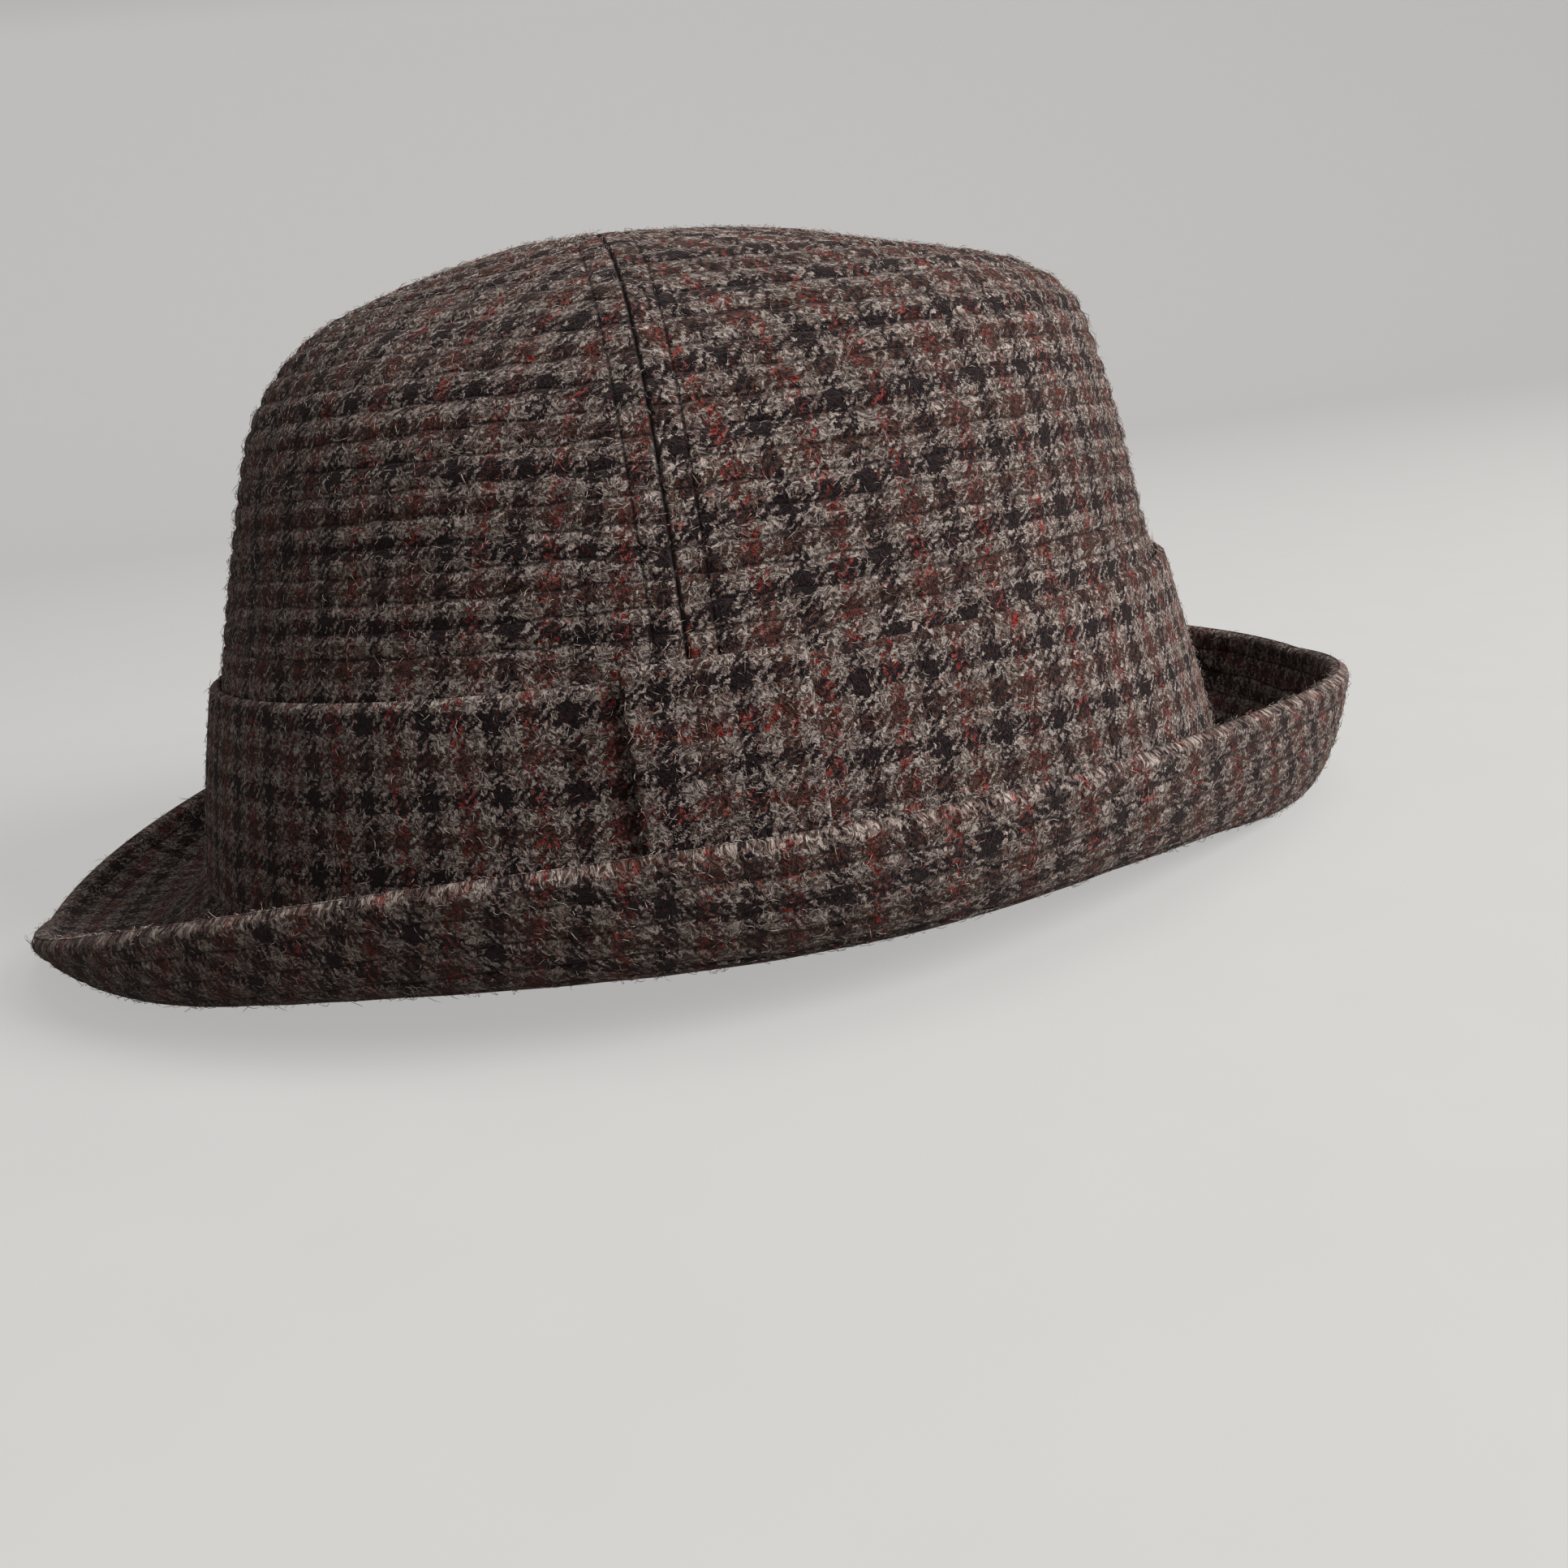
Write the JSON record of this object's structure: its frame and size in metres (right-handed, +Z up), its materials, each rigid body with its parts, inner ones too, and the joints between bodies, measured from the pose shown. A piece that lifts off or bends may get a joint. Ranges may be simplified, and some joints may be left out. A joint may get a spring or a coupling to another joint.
{
  "type": "trilby hat",
  "caption": "Row-stitched tweed trilby with a rounded crown, a wide self-fabric band with a flat keeper, and a brim curled up at the sides and back.",
  "frame": {"origin": "on the surface the brim rests on, under the middle of the brim's outline", "axes": "+Z up through the crown, -Y towards the front of the hat, +X towards the wearer's left"},
  "size_m": [0.24, 0.276, 0.1242],
  "materials": {
    "tweed": "woven wool check, hairy",
    "canvas": "plain cotton canvas",
    "satin": "satin",
    "leather": "smooth satin",
    "ribbon": "ribbed",
    "reed": "smooth",
    "ticket": "woven tape"
  },
  "bodies": {
    "root": {"crown_front_left": "tweed", "crown_front_right": "tweed", "crown_back_left": "tweed", "crown_back_right": "tweed", "crown_interlining": "canvas", "head_tape": "canvas", "lining_side": "satin", "lining_tip": "satin", "sweatband": "leather", "sweatband_reed": "reed", "sweatband_bow": "ribbon", "size_ticket": "ticket", "hat_band": "tweed", "band_keeper": "tweed", "brim_under": "tweed", "brim_interlining": "canvas", "brim_upper": "tweed"}
  },
  "joints": []
}
